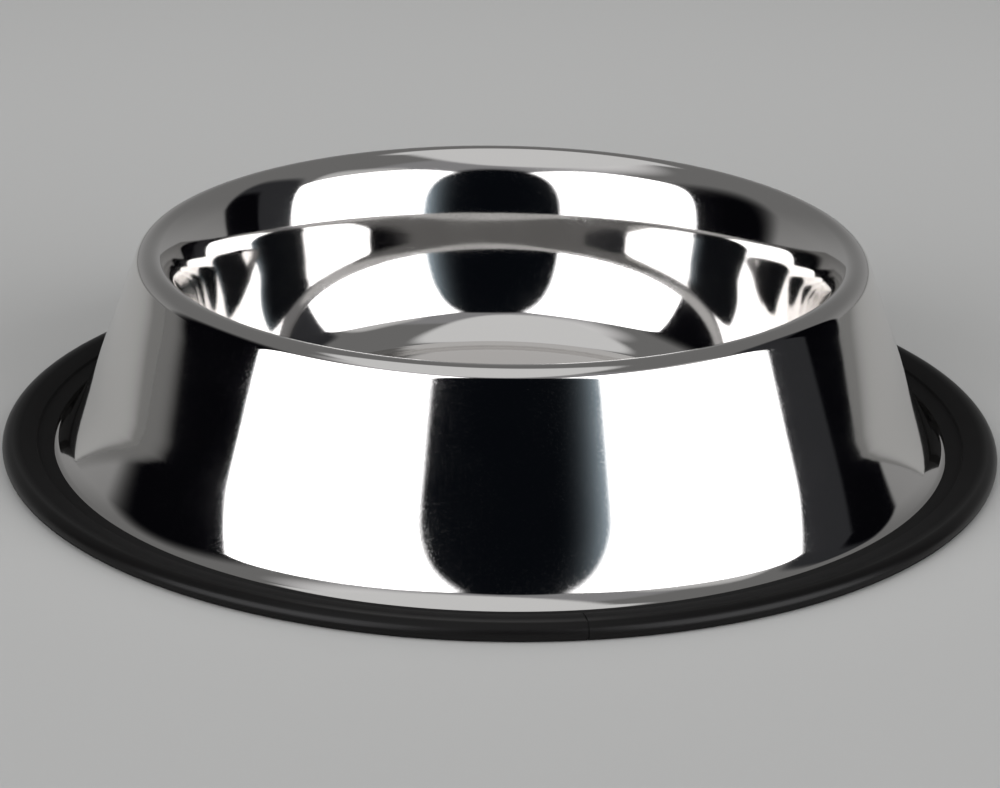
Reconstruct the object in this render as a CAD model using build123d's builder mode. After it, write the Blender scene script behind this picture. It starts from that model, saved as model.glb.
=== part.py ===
from build123d import *

import os
from math import asin, cos, degrees, radians, sin

# A low pet bowl that doesn't tip: one pressed steel sheet, whose basin, rim, skirt and flange
# are continuous, and a rubber ring that grips the flange and stands on the table.
# Lengths are millimetres and angles are degrees. The bowl's axis is Z and the table is z = 0.

# Overall sizes
bowl_height = 50.7  # table to the crest of the rim
rim_radius = 87.3  # axis to the crest of the rim
floor_height = 2.1  # table to the upper face of the basin floor
sheet_thickness = 0.7

# Basin wall, from the rim down. A tilt is the sheet's angle from the vertical, and a radius is
# that of the face that shows. The wall's own tilt follows from the basin's depth.
level_tilt = 90.0
lip_radius = 3.6
lip_tilt = 47.0
brow_radius = 16.0
brow_tilt = 31.0
shoulder_radius = 36.0
wall_drop = 7.1  # height of the straight part of the wall
sweep_radius = 60.0
sweep_tilt = 30.0
bend_radius = 16.0
bend_tilt = 60.0
heel_radius = 7.0

# Skirt, from the rim down. Its straight part takes the height that the bends leave.
crown_radius = 4.0
skirt_tilt = 20.2
flare_radius = 66.0
flare_tilt = 33.0
knuckle_radius = 12.5
knuckle_tilt = 48.0
hem_radius = 2.5
flange_width = 6.2  # flat part of the flange

# Rubber ring
groove_clearance = 0.05  # between the flange and the groove that grips it
sole_thickness = 0.8  # rubber under the flange
ring_thickness = 4.3
edge_cover = 6.24  # rubber outside the flange edge
foot_radius = 1.8  # lower outer edge, and the rest of the outer edge is one arc above it
top_width = 8.5  # crowned top face
top_edge_rise = 1.8  # inner edge of the top face, over the flange
step_run = 0.3  # lean of the step from that edge down to the lip
lip_root_rise = 1.15
lip_toe_rise = 0.5
toe_overlap = 0.26  # how far the lip reaches over the hem
sole_edge_radius = 0.4
seam_width = 0.4  # butt joint where the ends of the rubber strip meet
seam_depth = 0.25
seam_angle = 9.2  # from the front, towards +X
cut_overrun = 1.0  # how far a cut reaches past the face that it starts from


def arc_drop(radius, tilt_a, tilt_b):
    return radius * abs(sin(radians(tilt_a)) - sin(radians(tilt_b)))


def arc_run(radius, tilt_a, tilt_b):
    return radius * abs(cos(radians(tilt_a)) - cos(radians(tilt_b)))


# Heights and places that follow
flange_height = sole_thickness + groove_clearance + sheet_thickness  # upper face
basin_depth = bowl_height - floor_height
bends_drop = (
    arc_drop(lip_radius, level_tilt, lip_tilt)
    + arc_drop(brow_radius, lip_tilt, brow_tilt)
    + arc_drop(bend_radius, sweep_tilt, bend_tilt)
    + arc_drop(heel_radius, bend_tilt, level_tilt)
)
long_arcs_drop = basin_depth - bends_drop - wall_drop
wall_sine = (
    shoulder_radius * sin(radians(brow_tilt)) + sweep_radius * sin(radians(sweep_tilt)) - long_arcs_drop
) / (shoulder_radius + sweep_radius)
wall_tilt = degrees(asin(wall_sine))
wall_length = wall_drop / cos(radians(wall_tilt))

skirt_drop = (
    bowl_height
    - flange_height
    - arc_drop(crown_radius, level_tilt, skirt_tilt)
    - arc_drop(flare_radius, skirt_tilt, flare_tilt)
    - arc_drop(knuckle_radius, flare_tilt, knuckle_tilt)
    - arc_drop(hem_radius, knuckle_tilt, level_tilt)
)
skirt_length = skirt_drop / cos(radians(skirt_tilt))
flange_start = (
    rim_radius
    + arc_run(crown_radius, level_tilt, skirt_tilt)
    + skirt_length * sin(radians(skirt_tilt))
    + arc_run(flare_radius, skirt_tilt, flare_tilt)
    + arc_run(knuckle_radius, flare_tilt, knuckle_tilt)
    + arc_run(hem_radius, knuckle_tilt, level_tilt)
)
flange_edge = flange_start + flange_width

ring_radius = flange_edge + edge_cover
ring_bore = flange_start - toe_overlap
top_edge_radius = ring_radius - top_width
edge_round = ring_thickness - foot_radius


# One face of the sheet, a depth below the face that shows. Convex bends get tighter with
# depth and hollow ones wider, so the two faces stay parallel. It returns the face's two ends.
def sheet_face(depth):
    crest = (rim_radius, bowl_height - depth)
    lip = JernArc(crest, (-1, 0), lip_radius - depth, level_tilt - lip_tilt)
    brow = JernArc(lip @ 1, lip % 1, brow_radius - depth, lip_tilt - brow_tilt)
    shoulder = JernArc(brow @ 1, brow % 1, shoulder_radius - depth, brow_tilt - wall_tilt)
    wall = PolarLine(shoulder @ 1, wall_length, direction=shoulder % 1)
    sweep = JernArc(wall @ 1, wall % 1, sweep_radius + depth, wall_tilt - sweep_tilt)
    bend = JernArc(sweep @ 1, sweep % 1, bend_radius + depth, sweep_tilt - bend_tilt)
    heel = JernArc(bend @ 1, bend % 1, heel_radius + depth, bend_tilt - level_tilt)
    floor = Line(heel @ 1, (0, floor_height - depth))
    crown = JernArc(crest, (1, 0), crown_radius - depth, skirt_tilt - level_tilt)
    skirt = PolarLine(crown @ 1, skirt_length, direction=crown % 1)
    flare = JernArc(skirt @ 1, skirt % 1, flare_radius + depth, flare_tilt - skirt_tilt)
    knuckle = JernArc(flare @ 1, flare % 1, knuckle_radius + depth, knuckle_tilt - flare_tilt)
    hem = JernArc(knuckle @ 1, knuckle % 1, hem_radius + depth, level_tilt - knuckle_tilt)
    flange = Line(hem @ 1, (flange_edge, flange_height - depth))
    return floor @ 1, flange @ 1


# Steel bowl: the sheet's section turned round the axis
with BuildPart() as steel_bowl:
    with BuildSketch(Plane.XZ) as sheet_section:
        with BuildLine():
            show_ends = sheet_face(0)
            hidden_ends = sheet_face(sheet_thickness)
            Line(show_ends[0], hidden_ends[0])
            Line(show_ends[1], hidden_ends[1])
        make_face()
    revolve(axis=Axis.Z)

# Outline of the rubber ring without its groove: a flat sole, a round outer edge, a crowned top
# with a crisp inner edge, and a step down to a thin lip that lies on the flange
with BuildSketch(Plane.XZ) as ring_outline:
    with BuildLine():
        sole = Line((ring_bore, 0), (ring_radius - foot_radius, 0))
        foot = JernArc(sole @ 1, sole % 1, foot_radius, level_tilt)
        edge = JernArc(foot @ 1, foot % 1, edge_round, level_tilt)
        top = TangentArc(edge @ 1, (top_edge_radius, flange_height + top_edge_rise), tangent=edge % 1)
        Polyline(
            top @ 1,
            (top_edge_radius - step_run, flange_height + lip_root_rise),
            (ring_bore, flange_height + lip_toe_rise),
            sole @ 0,
        )
    make_face()
    sole_corner = ring_outline.vertices().group_by(Axis.Y)[0].sort_by(Axis.X)[0]
    fillet(sole_corner, radius=sole_edge_radius)

# Rubber ring: the outline turned round the axis, with a groove the size of the sheet plus its
# clearance, and the hairline joint of the strip's ends as a shallow slot round the section
seam_plane = Plane.XZ.rotated((0, 0, seam_angle - level_tilt))
with BuildPart() as rubber_ring:
    with BuildSketch(Plane.XZ):
        add(ring_outline.sketch_local)
        offset(sheet_section.sketch_local, amount=groove_clearance, mode=Mode.SUBTRACT)
    revolve(axis=Axis.Z)
    with BuildSketch(seam_plane):
        offset(ring_outline.sketch_local, amount=cut_overrun, mode=Mode.ADD)
        offset(ring_outline.sketch_local, amount=-seam_depth, mode=Mode.SUBTRACT)
    extrude(amount=seam_width / 2, both=True, mode=Mode.SUBTRACT)

os.makedirs("parts", exist_ok=True)
steel_bowl.part.label = "steel_bowl"
export_step(steel_bowl.part, "parts/steel_bowl.step")
rubber_ring.part.label = "rubber_ring"
export_step(rubber_ring.part, "parts/rubber_ring.step")
print("wall tilt", round(wall_tilt, 3), "base diameter", round(ring_radius * 2, 3))
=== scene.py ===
import math
import bpy
from mathutils import Matrix, Vector


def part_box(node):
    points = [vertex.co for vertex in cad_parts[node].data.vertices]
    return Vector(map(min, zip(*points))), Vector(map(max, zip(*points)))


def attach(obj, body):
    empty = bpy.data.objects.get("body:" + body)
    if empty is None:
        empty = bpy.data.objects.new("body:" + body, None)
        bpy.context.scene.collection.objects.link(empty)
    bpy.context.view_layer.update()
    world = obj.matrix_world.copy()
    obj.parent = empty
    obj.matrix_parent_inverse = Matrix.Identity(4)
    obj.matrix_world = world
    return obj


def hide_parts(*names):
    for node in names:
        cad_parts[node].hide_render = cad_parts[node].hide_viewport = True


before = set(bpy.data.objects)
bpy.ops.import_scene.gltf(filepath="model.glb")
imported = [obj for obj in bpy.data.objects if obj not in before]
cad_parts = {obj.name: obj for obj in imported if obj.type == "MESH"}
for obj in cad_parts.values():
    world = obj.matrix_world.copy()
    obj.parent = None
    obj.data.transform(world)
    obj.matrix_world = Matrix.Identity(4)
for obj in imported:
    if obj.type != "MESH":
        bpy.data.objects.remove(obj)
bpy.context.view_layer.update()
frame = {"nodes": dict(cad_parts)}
mm = 0.001
aroundSteps = 240  # both pieces are spun in the same steps, so that they stay clear of each other
mergeWithin = 0.002  # mm, closes the seam of a spin
print("frame loaded:", ", ".join(frame["nodes"]))


def linearColour(hexColour):
    channels = [int(hexColour[i:i + 2], 16) / 255 for i in (1, 3, 5)]
    return tuple(c / 12.92 if c <= 0.04045 else ((c + 0.055) / 1.055) ** 2.4 for c in channels) + (1.0,)


def addNode(tree, kind, feeds, **settings):
    node = tree.nodes.new(kind)
    for name, value in settings.items():
        setattr(node, name, value)
    for socket, value in feeds.items():
        if isinstance(value, bpy.types.NodeSocket):
            tree.links.new(value, node.inputs[socket])
        else:
            node.inputs[socket].default_value = value
    return node


# A section is drawn as one line of vertices in the XZ plane. The pen holds where the line has
# got to, in millimetres, and its heading in degrees, 0 away from the axis and 90 up.
def startSection(name, x, z, heading):
    bpy.ops.object.select_all(action="DESELECT")
    bpy.ops.mesh.primitive_plane_add(size=mm, location=(x * mm, 0, z * mm))
    piece = bpy.context.object
    piece.name = name
    piece.data.name = name
    bpy.ops.object.transform_apply(location=True, rotation=False, scale=False)
    bpy.ops.object.mode_set(mode="EDIT")
    bpy.ops.mesh.merge(type="CENTER")
    return piece, {"x": x, "z": z, "heading": heading}


def drawRun(pen, length, parts=1):
    heading = math.radians(pen["heading"])
    stepX = length / parts * math.cos(heading)
    stepZ = length / parts * math.sin(heading)
    for part in range(parts):
        bpy.ops.mesh.extrude_region_move(TRANSFORM_OT_translate={"value": (stepX * mm, 0, stepZ * mm)})
    pen["x"] += stepX * parts
    pen["z"] += stepZ * parts


def drawTo(pen, x, z):
    pen["heading"] = math.degrees(math.atan2(z - pen["z"], x - pen["x"]))
    drawRun(pen, math.hypot(x - pen["x"], z - pen["z"]))


def drawBend(pen, radius, turn, stepAngle):  # a left turn is positive
    side = math.copysign(radius, turn)
    heading = math.radians(pen["heading"])
    centreX = pen["x"] - side * math.sin(heading)
    centreZ = pen["z"] + side * math.cos(heading)
    bpy.ops.mesh.spin(
        steps=max(3, round(abs(turn) / stepAngle)),
        angle=math.radians(turn),
        center=(centreX * mm, 0, centreZ * mm),
        axis=(0, 1, 0),
    )
    pen["heading"] += turn
    heading = math.radians(pen["heading"])
    pen["x"] = centreX + side * math.sin(heading)
    pen["z"] = centreZ - side * math.cos(heading)


def spinSection():
    bpy.ops.mesh.select_all(action="SELECT")
    bpy.ops.mesh.spin(steps=aroundSteps, angle=math.tau, center=(0, 0, 0), axis=(0, 0, 1))
    bpy.ops.mesh.select_all(action="SELECT")
    bpy.ops.mesh.remove_doubles(threshold=mergeWithin * mm)
    bpy.ops.mesh.normals_make_consistent(inside=False)


# Pressed steel bowl: one sheet, from the flange edge up the skirt, over the rim and down to the
# middle of the basin. Radii are those of the face that shows, tilts are from the vertical.
bowl = {
    "flangeEdge": 118.764,
    "flangeHeight": 1.55,
    "flangeWidth": 6.2,
    "hemRadius": 2.5,
    "knuckleTilt": 48.0,
    "knuckleRadius": 12.5,
    "flareTilt": 33.0,
    "flareRadius": 66.0,
    "skirtTilt": 20.2,
    "crownRadius": 4.0,
    "lipRadius": 3.6,
    "lipTilt": 47.0,
    "browRadius": 16.0,
    "browTilt": 31.0,
    "shoulderRadius": 36.0,
    "wallTilt": 10.967,
    "wallDrop": 7.1,
    "sweepRadius": 60.0,
    "sweepTilt": 30.0,
    "bendRadius": 16.0,
    "bendTilt": 60.0,
    "heelRadius": 7.0,
    "sheet": 0.7,
    "stepAngle": 2.0,
    "smoothAngle": 40.0,
}


def bendDrop(radius, tiltA, tiltB):
    return radius * abs(math.sin(math.radians(tiltA)) - math.sin(math.radians(tiltB)))


# The skirt's straight part takes the height that the bends leave, up to the CAD rim
skirtDrop = (
    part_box("steel_bowl")[1][2] / mm
    - bowl["flangeHeight"]
    - bendDrop(bowl["hemRadius"], 90, bowl["knuckleTilt"])
    - bendDrop(bowl["knuckleRadius"], bowl["knuckleTilt"], bowl["flareTilt"])
    - bendDrop(bowl["flareRadius"], bowl["flareTilt"], bowl["skirtTilt"])
    - bendDrop(bowl["crownRadius"], bowl["skirtTilt"], 90)
)
skirtLength = skirtDrop / math.cos(math.radians(bowl["skirtTilt"]))

steelBowl, pen = startSection("steelBowl", bowl["flangeEdge"], bowl["flangeHeight"], 180)
fine = bowl["stepAngle"]
drawRun(pen, bowl["flangeWidth"], 2)
drawBend(pen, bowl["hemRadius"], bowl["knuckleTilt"] - 90, fine)
drawBend(pen, bowl["knuckleRadius"], bowl["flareTilt"] - bowl["knuckleTilt"], fine / 2)
drawBend(pen, bowl["flareRadius"], bowl["skirtTilt"] - bowl["flareTilt"], fine)
drawRun(pen, skirtLength, 8)
drawBend(pen, bowl["crownRadius"], 90 - bowl["skirtTilt"], fine)
print("rim crest at", round(pen["x"], 3), round(pen["z"], 3))
drawBend(pen, bowl["lipRadius"], 90 - bowl["lipTilt"], fine)
drawBend(pen, bowl["browRadius"], bowl["lipTilt"] - bowl["browTilt"], fine)
drawBend(pen, bowl["shoulderRadius"], bowl["browTilt"] - bowl["wallTilt"], fine)
drawRun(pen, bowl["wallDrop"] / math.cos(math.radians(bowl["wallTilt"])), 3)
drawBend(pen, bowl["sweepRadius"], bowl["wallTilt"] - bowl["sweepTilt"], fine)
drawBend(pen, bowl["bendRadius"], bowl["sweepTilt"] - bowl["bendTilt"], fine)
drawBend(pen, bowl["heelRadius"], bowl["bendTilt"] - 90, fine)
print("basin floor at", round(pen["x"], 3), round(pen["z"], 3))
drawRun(pen, pen["x"], 6)
spinSection()
bpy.ops.object.mode_set(mode="OBJECT")
floorFace = min(steelBowl.data.polygons, key=lambda face: face.center.xy.length)
if floorFace.normal.z < 0:  # an open sheet can come out of the recalculation face down
    bpy.ops.object.mode_set(mode="EDIT")
    bpy.ops.mesh.select_all(action="SELECT")
    bpy.ops.mesh.flip_normals()
    bpy.ops.object.mode_set(mode="OBJECT")
print("steel sheet:", len(steelBowl.data.polygons), "faces")


# Rubber ring: a flat sole, a round outer edge, a crowned top with a crisp inner edge, a thin lip
# on the hem, and the groove that grips the flange. Its two ends meet in a hairline seam.
ring = {
    "bore": 112.304,
    "radius": 125.004,
    "thickness": 4.3,
    "soleEdge": 0.4,
    "foot": 1.8,
    "topEdge": (116.5, 3.35),
    "lipRoot": (116.2, 2.7),
    "lipToe": 2.05,
    "grooveCentre": (112.564, 4.05),  # the hem's
    "grooveTop": 2.45,
    "grooveBottom": 3.25,
    "grooveEnd": 118.814,
    "stepAngle": 6.0,
    "seamAngle": 9.2,  # from the front, towards +X
    "seamWidth": 0.4,
    "seamDepth": 0.25,
    "seamReach": 5.0,  # how far from the seam the cuts reach
    "grooveBand": (0.7, 1.7),  # heights between which a face near the flange is the groove's
    "grooveMargin": 0.1,
    "smoothAngle": 32.0,
}
centreX, centreZ = ring["grooveCentre"]
topRun = ring["radius"] - (ring["thickness"] - ring["foot"]) - ring["topEdge"][0]
topTurn = 2 * math.atan2(ring["thickness"] - ring["topEdge"][1], topRun)
toeTurn = math.asin((centreX - ring["bore"]) / ring["grooveTop"])
soleTurn = math.asin((centreX - ring["bore"]) / ring["grooveBottom"])

rubberRing, pen = startSection("rubberRing", ring["bore"] + ring["soleEdge"], 0, 0)
coarse = ring["stepAngle"]
drawRun(pen, ring["radius"] - ring["foot"] - pen["x"], 4)
drawBend(pen, ring["foot"], 90, coarse)
drawBend(pen, ring["thickness"] - ring["foot"], 90, coarse)
drawBend(pen, topRun / math.sin(topTurn), math.degrees(topTurn), coarse / 2)
drawTo(pen, *ring["lipRoot"])
drawTo(pen, ring["bore"], ring["lipToe"])
drawTo(pen, ring["bore"], centreZ - ring["grooveTop"] * math.cos(toeTurn))
pen["heading"] = -math.degrees(toeTurn)
drawBend(pen, ring["grooveTop"], math.degrees(toeTurn), coarse)
drawTo(pen, ring["grooveEnd"], centreZ - ring["grooveTop"])
drawTo(pen, ring["grooveEnd"], centreZ - ring["grooveBottom"])
drawTo(pen, centreX, centreZ - ring["grooveBottom"])
drawBend(pen, ring["grooveBottom"], -math.degrees(soleTurn), coarse)
drawTo(pen, ring["bore"], ring["soleEdge"])
drawBend(pen, ring["soleEdge"], 90, coarse)
spinSection()

# The seam: two cuts across the front of the ring, and the sliver between them pressed in
bpy.ops.object.mode_set(mode="OBJECT")
seamTurn = math.radians(ring["seamAngle"])
seamOut = Vector((math.sin(seamTurn), -math.cos(seamTurn), 0))
seamAcross = Vector((math.cos(seamTurn), math.sin(seamTurn), 0))


def selectFaces(piece, wanted):
    bpy.ops.object.mode_set(mode="EDIT")
    bpy.ops.mesh.select_all(action="DESELECT")
    bpy.ops.mesh.select_mode(type="FACE")
    bpy.ops.object.mode_set(mode="OBJECT")
    for face in piece.data.polygons:
        face.select = wanted(face)
    bpy.ops.object.mode_set(mode="EDIT")


def nearSeam(face):
    return abs(face.center.dot(seamAcross)) < ring["seamReach"] * mm and face.center.dot(seamOut) > 0


def inSeam(face):
    radius = face.center.xy.length
    low, high = ring["grooveBand"]
    besideFlange = radius < (ring["grooveEnd"] + ring["grooveMargin"]) * mm
    inGroove = besideFlange and low * mm < face.center.z < high * mm
    inStrip = abs(face.center.dot(seamAcross)) < ring["seamWidth"] / 2 * mm
    return inStrip and face.center.dot(seamOut) > 0 and radius > ring["lipRoot"][0] * mm and not inGroove


for side in (-1, 1):
    selectFaces(rubberRing, nearSeam)
    cutAt = seamAcross * side * ring["seamWidth"] / 2 * mm
    bpy.ops.mesh.bisect(plane_co=cutAt, plane_no=seamAcross)
selectFaces(rubberRing, inSeam)
bpy.ops.mesh.extrude_region_shrink_fatten(
    TRANSFORM_OT_shrink_fatten={"value": -ring["seamDepth"] * mm}
)
bpy.ops.object.mode_set(mode="OBJECT")
bpy.ops.object.shade_smooth_by_angle(angle=math.radians(ring["smoothAngle"]))
print("rubber ring:", len(rubberRing.data.polygons), "faces")


# Coordinates for a pattern of lines that run round the bowl: it is stretched along the turn, so
# that at one radius its lines have the wanted length and spacing. Lengths are millimetres.
def goRound(tree, atRadius, spacing, length):
    place = addNode(tree, "ShaderNodeTexCoord", {}).outputs["Object"]
    parts = addNode(tree, "ShaderNodeSeparateXYZ", {0: place}).outputs
    level = addNode(
        tree, "ShaderNodeVectorMath", {0: place, 1: (1, 1, 0)}, operation="MULTIPLY"
    ).outputs[0]
    radius = addNode(tree, "ShaderNodeVectorMath", {0: level}, operation="LENGTH").outputs["Value"]
    turn = addNode(tree, "ShaderNodeMath", {0: parts[0], 1: parts[1]}, operation="ARCTAN2").outputs[0]
    along = addNode(
        tree, "ShaderNodeMath", {0: turn, 1: atRadius * mm * spacing / length}, operation="MULTIPLY"
    ).outputs[0]
    lines = addNode(tree, "ShaderNodeCombineXYZ", {0: radius, 1: along, 2: parts[2]}).outputs[0]
    return {"place": place, "radius": radius, "height": parts[2], "lines": lines}


def addNoise(tree, vector, size, **feeds):  # size in millimetres
    feeds.update({"Vector": vector, "Scale": 1 / (size * mm)})
    return addNode(tree, "ShaderNodeTexNoise", feeds).outputs[0]


# Stainless steel sheet, drawn and then buffed to a mirror on the side that shows: sharp
# reflections that waver a little, a faint orange peel, the buffing wheel's fine rings, and specks
# that it leaves a little duller.
polish = {
    "colour": "#dad8d6",
    "roughness": (0.03, 0.06),
    "smudgeRange": (0.3, 0.7),  # part of the noise that goes from the low roughness to the high
    "pit": 0.45,  # mm between the dull specks
    "pitRange": (0.52, 0.7),
    "pitRoughness": 0.045,
    "wave": 26.0,  # mm between the sheet's slow swells
    "waveHeight": 0.03,
    "peel": 0.5,  # mm
    "peelHeight": 0.0013,
    "ringSpacing": 0.45,  # mm, coarser than the real lines so that they show
    "ringLength": 60.0,
    "ringRadius": 100.0,  # where the rings have that length
    "ringHeight": 0.0005,
    "smudge": 14.0,
}


def makeSteel(name, finish):
    steel = bpy.data.materials.new(name)
    steel.use_nodes = True
    tree = steel.node_tree
    shader = tree.nodes["Principled BSDF"]
    shader.inputs["Base Color"].default_value = linearColour(finish["colour"])
    shader.inputs["Metallic"].default_value = 1
    spots = goRound(tree, finish["ringRadius"], finish["ringSpacing"], finish["ringLength"])
    normal = None
    for vector, size, depth, detail in (
        (spots["place"], finish["wave"], finish["waveHeight"], 1),
        (spots["place"], finish["peel"], finish["peelHeight"], 2),
        (spots["lines"], finish["ringSpacing"], finish["ringHeight"], 2),
    ):
        noise = addNoise(tree, vector, size, Detail=detail)
        feeds = {"Height": noise, "Distance": depth * mm, "Strength": 1}
        if normal:
            feeds["Normal"] = normal
        normal = addNode(tree, "ShaderNodeBump", feeds).outputs[0]
    tree.links.new(normal, shader.inputs["Normal"])
    smudge = addNoise(tree, spots["place"], finish["smudge"], Detail=4)
    speck = addNoise(tree, spots["place"], finish["pit"])
    layers = []
    for noise, (start, end), (low, high) in (
        (smudge, finish["smudgeRange"], finish["roughness"]),
        (speck, finish["pitRange"], (0, finish["pitRoughness"])),
    ):
        layer = addNode(tree, "ShaderNodeMapRange", {0: noise, 1: start, 2: end, 3: low, 4: high})
        layers.append(layer.outputs[0])
    rough = addNode(tree, "ShaderNodeMath", dict(enumerate(layers)), operation="ADD").outputs[0]
    tree.links.new(rough, shader.inputs["Roughness"])
    return steel


# The hidden side keeps the dull skin of the rolled sheet, with the marks of the press
mill = dict(polish, colour="#b9b8b5", roughness=(0.24, 0.36), peelHeight=0.012, ringHeight=0.004)
steelBowl.data.materials.append(makeSteel("polishedStainlessSteel", polish))
steelBowl.data.materials.append(makeSteel("rolledStainlessSteel", mill))

# The sheet gets its thickness behind the drawn face, and its back takes the second material
bpy.ops.object.select_all(action="DESELECT")
bpy.context.view_layer.objects.active = steelBowl
steelBowl.select_set(True)
wall = steelBowl.modifiers.new("sheet", "SOLIDIFY")
wall.thickness = bowl["sheet"] * mm
wall.offset = -1
wall.use_even_offset = True
wall.material_offset = 1
wall.material_offset_rim = 1
bpy.ops.object.modifier_apply(modifier=wall.name)
bpy.ops.object.shade_smooth_by_angle(angle=math.radians(bowl["smoothAngle"]))
backFaces = sum(face.material_index for face in steelBowl.data.polygons)
print("steel bowl:", len(steelBowl.data.polygons), "faces,", backFaces, "of them at the back")

# Extruded black rubber: a matte skin with fine grain, drawn lines along the strip, a little grey
# bloom, and a smoother outer edge where it is handled
rubber = {
    "colour": "#060505",
    "bloom": "#0e0d0d",
    "specular": 0.2,
    "roughness": (0.8, 0.33),  # of the matte top and of the worn edge
    "edge": (120.5, 122.5),  # mm from the axis over which the wear sets in
    "foot": (0.9, 1.7),  # mm over the table below which there is none
    "grain": 0.5,  # mm
    "grainHeight": 0.012,
    "lineSpacing": 0.6,
    "lineLength": 40.0,
    "lineHeight": 0.02,
    "patch": 9.0,
}
skin = bpy.data.materials.new("extrudedBlackRubber")
skin.use_nodes = True
tree = skin.node_tree
shader = tree.nodes["Principled BSDF"]
spots = goRound(tree, ring["radius"], rubber["lineSpacing"], rubber["lineLength"])
patch = addNoise(tree, spots["place"], rubber["patch"], Detail=5)
colour = addNode(
    tree,
    "ShaderNodeMix",
    {0: patch, 6: linearColour(rubber["colour"]), 7: linearColour(rubber["bloom"])},
    data_type="RGBA",
).outputs[2]
tree.links.new(colour, shader.inputs["Base Color"])
rises = []
for value, (start, end) in ((spots["radius"], rubber["edge"]), (spots["height"], rubber["foot"])):
    rise = addNode(tree, "ShaderNodeMapRange", {0: value, 1: start * mm, 2: end * mm})
    rises.append(rise.outputs[0])
worn = addNode(tree, "ShaderNodeMath", dict(enumerate(rises)), operation="MULTIPLY").outputs[0]
matte, smooth = rubber["roughness"]
rough = addNode(tree, "ShaderNodeMapRange", {0: worn, 3: matte, 4: smooth}).outputs[0]
tree.links.new(rough, shader.inputs["Roughness"])
shader.inputs["Specular IOR Level"].default_value = rubber["specular"]
grain = addNoise(tree, spots["place"], rubber["grain"], Detail=3)
drawn = addNoise(tree, spots["lines"], rubber["lineSpacing"], Detail=2)
normal = addNode(
    tree, "ShaderNodeBump", {"Height": grain, "Distance": rubber["grainHeight"] * mm, "Strength": 1}
).outputs[0]
normal = addNode(
    tree,
    "ShaderNodeBump",
    {"Height": drawn, "Distance": rubber["lineHeight"] * mm, "Strength": 1, "Normal": normal},
).outputs[0]
tree.links.new(normal, shader.inputs["Normal"])
rubberRing.data.materials.append(skin)

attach(steelBowl, "root")
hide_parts("steel_bowl")
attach(rubberRing, "root")
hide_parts("rubber_ring")
print("materials and frame set")


# Studio: a wide pale floor, painted darker away from the bowl as painted shade where the light would
# fall off, and a world of soft light and dark patches in a grey room. A patch lies on a plane one unit
# away that faces the bowl from an azimuth, in degrees from the front towards +X, and an elevation. Its
# centre and half sizes are on that plane. Its power squares it off, and its softness is the part of its
# reach over which it fades.
# A later patch lies over an earlier one.
studio = {
    "floorColour": "#c8c8c6",
    "paintedFalloffColour": "#949492",  # painted shade: the paper's colour darkened away from the bowl, for light that falls off there
    "paintedFalloffFrom": 0.3,  # metres from the axis where the painted shade starts
    "paintedFalloffTo": 1.2,
    "floorSize": 40.0,
    "floorDrop": 0.02,  # mm, keeps the floor clear of the sole
    "mirrorings": 12,  # the basin mirrors itself many times over
    "roomGlow": 0.185,
    "horizonGlow": 0.3,
    "horizonHeight": 30.0,
    "nearest": 0.000001,  # a ray that leads away from a patch misses it
}
patches = [
    {
        "name": "frontGlow", "from": (5, 50), "centre": (0, 0), "half": (1.0, 0.24),
        "power": 3, "soft": 0.7, "glow": (0.28, 0.28, 0.29),
    },
    {
        "name": "leftGlow", "from": (-35, 64), "centre": (0, 0), "half": (0.4, 0.32),
        "power": 2, "soft": 0.9, "glow": (0.8, 0.8, 0.81),
    },
    {
        "name": "leftFlag", "from": (-88, 0), "centre": (0, 0), "half": (0.52, 0.78),
        "power": 3, "soft": 0.7, "glow": (0.002, 0.002, 0.003),
    },
    {
        "name": "leftFarFloor", "from": (-105, 0), "centre": (0, 0), "half": (0.6, 0.05),
        "power": 2, "soft": 0.9, "glow": (0.19, 0.19, 0.188),
    },
    {
        "name": "rightFlag", "from": (102, 0), "centre": (0, 0), "half": (0.32, 0.92),
        "power": 4, "soft": 0.4, "glow": (0.030, 0.031, 0.034),
    },
    {
        "name": "rightFlagCore", "from": (111, 0), "centre": (0, 0), "half": (0.155, 0.62),
        "power": 4, "soft": 0.4, "glow": (0.002, 0.002, 0.003),
    },
    {
        "name": "rightSpill", "from": (60, 0), "centre": (0, 0), "half": (0.4, 1.1),
        "power": 6, "soft": 0.6, "glow": (0.6, 0.6, 0.6),
    },
    {
        "name": "leftPanel", "from": (-33, 0), "centre": (-0.133, 0), "half": (0.833, 0.932),
        "power": 8, "soft": 0.25, "glow": (3.3, 3.3, 3.36),
    },
    {
        "name": "rightPanel", "from": (43, 0), "centre": (0, 0), "half": (0.933, 0.925),
        "power": 8, "soft": 0.3, "glow": (3.3, 3.3, 3.36),
    },
    {
        "name": "frontGap", "from": (4.5, 0), "centre": (0, 0), "half": (0.49, 0.949),
        "power": 3, "soft": 0.16, "glow": (0.0026, 0.0034, 0.0050),
        "fadeFrom": 0.11, "fadePower": 5, "fadeGlow": (0.54, 0.66, 0.75),
    },
    {
        "name": "ceiling", "from": (0, 90), "centre": (-0.1, -0.205), "half": (0.44, 0.73),
        "power": 2.3, "soft": 0.2, "glow": (0.73, 0.735, 0.74),
    },
]
bpy.ops.object.select_all(action="DESELECT")
bpy.ops.mesh.primitive_plane_add(size=studio["floorSize"], location=(0, 0, -studio["floorDrop"] * mm))
floor = bpy.context.object
floor.name = "studioFloor"
paper = bpy.data.materials.new("matteFloorPaper")
paper.use_nodes = True
tree = paper.node_tree
shader = tree.nodes["Principled BSDF"]
place = addNode(tree, "ShaderNodeTexCoord", {}).outputs["Object"]
away = addNode(tree, "ShaderNodeVectorMath", {0: place}, operation="LENGTH").outputs["Value"]
# Painted shade: the paper's colour goes darker with distance from the bowl, standing in for the light
# falling off
far = addNode(
    tree,
    "ShaderNodeMapRange",
    {0: away, 1: studio["paintedFalloffFrom"], 2: studio["paintedFalloffTo"]},
    interpolation_type="SMOOTHSTEP",
).outputs[0]
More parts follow.
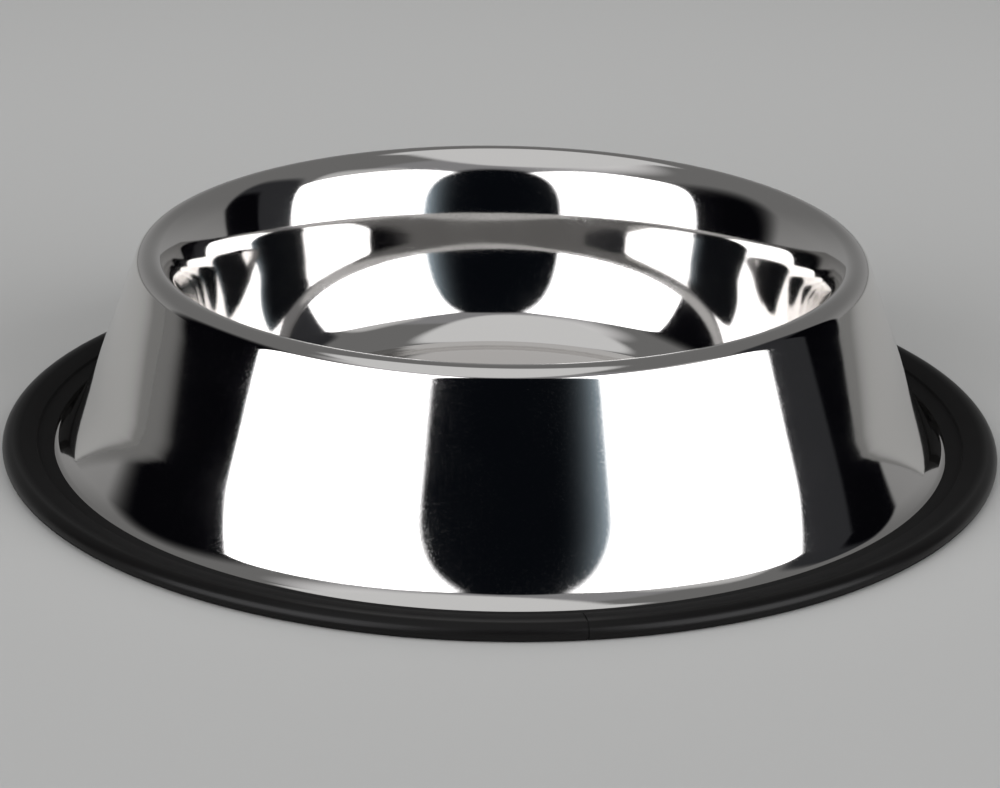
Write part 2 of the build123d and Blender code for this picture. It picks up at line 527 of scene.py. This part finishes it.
colour = addNode(
    tree,
    "ShaderNodeMix",
    {0: far, 6: linearColour(studio["floorColour"]), 7: linearColour(studio["paintedFalloffColour"])},
    data_type="RGBA",
).outputs[2]
tree.links.new(colour, shader.inputs["Base Color"])
shader.inputs["Roughness"].default_value = 1.0
shader.inputs["Specular IOR Level"].default_value = 0.0
floor.data.materials.append(paper)

world = bpy.data.worlds.new("studioPatches")
world.use_nodes = True
bpy.context.scene.world = world
tree = world.node_tree
tree.nodes.clear()
ray = addNode(tree, "ShaderNodeTexCoord", {}).outputs["Generated"]
rayUp = addNode(tree, "ShaderNodeSeparateXYZ", {0: ray}).outputs[2]
horizon = math.sin(math.radians(studio["horizonHeight"]))
light = addNode(
    tree,
    "ShaderNodeMapRange",
    {0: rayUp, 1: 0.0, 2: horizon, 3: studio["horizonGlow"], 4: studio["roomGlow"]},
    interpolation_type="SMOOTHSTEP",
).outputs[0]
for patch in patches:
    azimuth, elevation = (math.radians(angle) for angle in patch["from"])
    facing = Vector((
        math.sin(azimuth) * math.cos(elevation),
        -math.cos(azimuth) * math.cos(elevation),
        math.sin(elevation),
    ))
    sideways = Vector((math.cos(azimuth), math.sin(azimuth), 0))
    upward = facing.cross(sideways)
    depth = addNode(
        tree, "ShaderNodeVectorMath", {0: ray, 1: facing}, operation="DOT_PRODUCT"
    ).outputs["Value"]
    depth = addNode(
        tree, "ShaderNodeMath", {0: depth, 1: studio["nearest"]}, operation="MAXIMUM"
    ).outputs[0]
    offsets = []
    reach = 0.0
    for axis, centre, half in zip((sideways, upward), patch["centre"], patch["half"]):
        offset = addNode(
            tree, "ShaderNodeVectorMath", {0: ray, 1: axis}, operation="DOT_PRODUCT"
        ).outputs["Value"]
        offset = addNode(tree, "ShaderNodeMath", {0: offset, 1: depth}, operation="DIVIDE").outputs[0]
        offsets.append(offset)
        offset = addNode(tree, "ShaderNodeMath", {0: offset, 1: centre}, operation="SUBTRACT").outputs[0]
        offset = addNode(tree, "ShaderNodeMath", {0: offset}, operation="ABSOLUTE").outputs[0]
        offset = addNode(tree, "ShaderNodeMath", {0: offset, 1: half}, operation="DIVIDE").outputs[0]
        offset = addNode(
            tree, "ShaderNodeMath", {0: offset, 1: patch["power"]}, operation="POWER"
        ).outputs[0]
        reach = addNode(tree, "ShaderNodeMath", {0: offset, 1: reach}, operation="ADD").outputs[0]
    mask = addNode(
        tree,
        "ShaderNodeMapRange",
        {0: reach, 1: 1 + patch["soft"], 2: 1 - patch["soft"]},
        interpolation_type="SMOOTHSTEP",
    ).outputs[0]
    glow = (*patch["glow"], 1)
    if "fadeGlow" in patch:  # the patch grows lighter towards its right edge
        fade = addNode(
            tree, "ShaderNodeMapRange", {0: offsets[0], 1: patch["fadeFrom"], 2: patch["half"][0]}
        ).outputs[0]
        fade = addNode(
            tree, "ShaderNodeMath", {0: fade, 1: patch["fadePower"]}, operation="POWER"
        ).outputs[0]
        glow = addNode(
            tree, "ShaderNodeMix", {0: fade, 6: glow, 7: (*patch["fadeGlow"], 1)}, data_type="RGBA"
        ).outputs[2]
    light = addNode(
        tree, "ShaderNodeMix", {0: mask, 6: light, 7: glow}, data_type="RGBA", label=patch["name"]
    ).outputs[2]
background = addNode(tree, "ShaderNodeBackground", {0: light}).outputs[0]
addNode(tree, "ShaderNodeOutputWorld", {0: background})

# Camera at the photograph's viewing angle
view = {
    "place": (0, -0.7398, 0.2901),
    "pitch": 20.6771,
    "roll": 0.95,
    "pan": -0.0143,
    "lens": 112.54,
}
pitch = math.radians(view["pitch"])
pan = math.radians(view["pan"])
roll = math.radians(view["roll"])
ahead = Vector((math.sin(pan) * math.cos(pitch), math.cos(pan) * math.cos(pitch), -math.sin(pitch)))
right = ahead.cross(Vector((0, 0, 1))).normalized()
upright = right.cross(ahead)
rolledRight = right * math.cos(roll) + upright * math.sin(roll)
rolledUp = upright * math.cos(roll) - right * math.sin(roll)
turned = Matrix((rolledRight, rolledUp, -ahead)).transposed().to_4x4()
turned.translation = Vector(view["place"])
bpy.ops.object.camera_add()
camera = bpy.context.object
camera.name = "photoCamera"
camera.data.lens = view["lens"]
camera.matrix_world = turned
bpy.context.scene.camera = camera
bpy.context.scene.view_settings.view_transform = "Standard"
bpy.context.scene.cycles.glossy_bounces = studio["mirrorings"]
print("studio and camera set")
